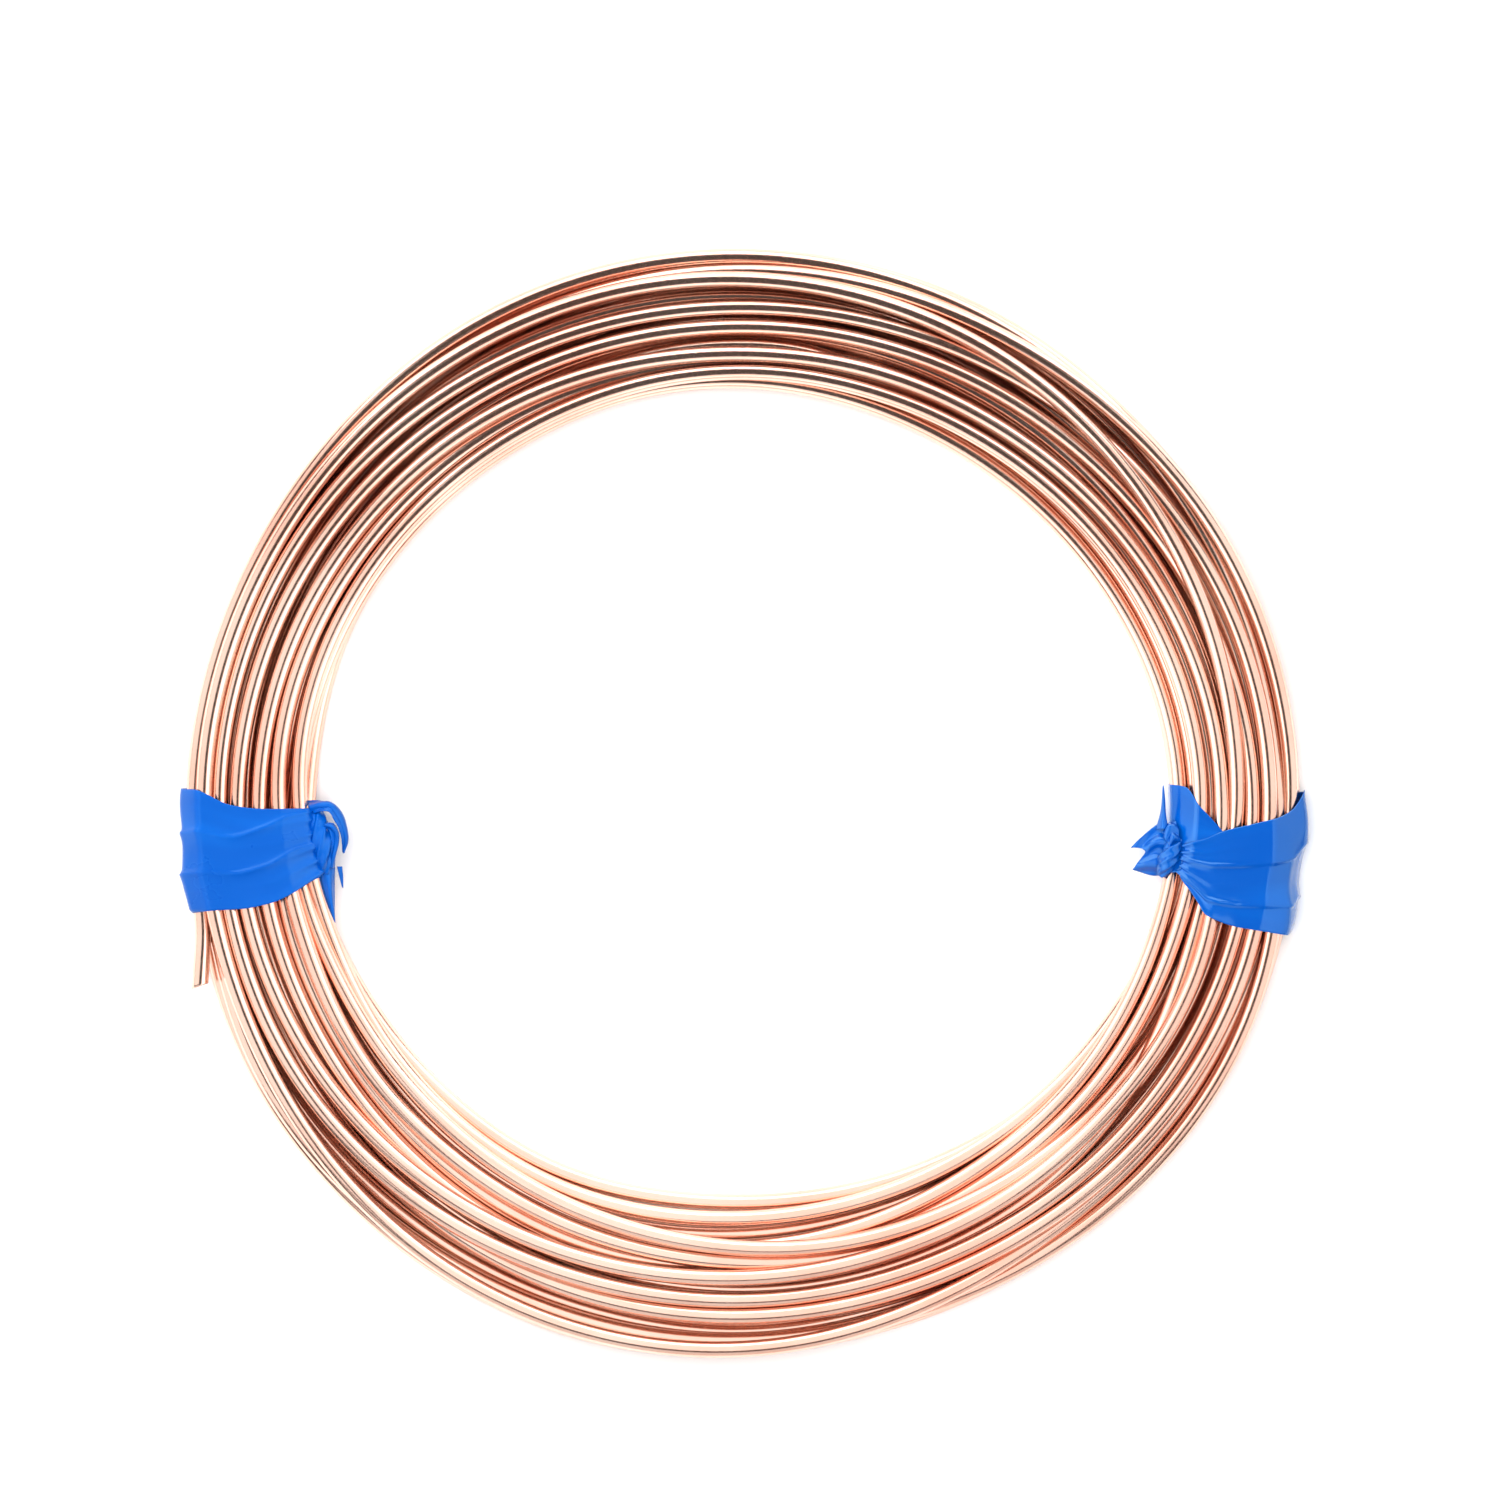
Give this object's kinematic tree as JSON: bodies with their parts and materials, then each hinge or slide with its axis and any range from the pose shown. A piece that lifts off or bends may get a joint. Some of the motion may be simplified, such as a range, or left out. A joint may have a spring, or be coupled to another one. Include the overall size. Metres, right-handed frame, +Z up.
{
  "type": "coil of bare copper wire",
  "caption": "Flat ring-shaped coil of bare round solid copper wire, tied at two places with knotted strips of glossy blue film, one cut wire end showing.",
  "frame": {"origin": "middle of the coil's eye, on the surface that the coil lies on", "axes": "+Z up along the coil's axis, +X towards the right tie, the left tie at -X, the cut wire end at -X -Y"},
  "size_m": [0.1384, 0.1384, 0.0071],
  "materials": {
    "bare_copper": "bright drawn copper, bare and untarnished",
    "blue_film": "glossy thin vinyl film, gathered and creased"
  },
  "bodies": {
    "root": {"wire_coil": "bare_copper", "wire_outer_end": "bare_copper", "left_tie_band": "blue_film", "left_tie_knot": "blue_film", "left_tie_long_tail": "blue_film", "left_tie_short_tail": "blue_film", "right_tie_band": "blue_film", "right_tie_rear_fold": "blue_film", "right_tie_knot": "blue_film", "right_tie_fan_tail": "blue_film"}
  },
  "joints": []
}
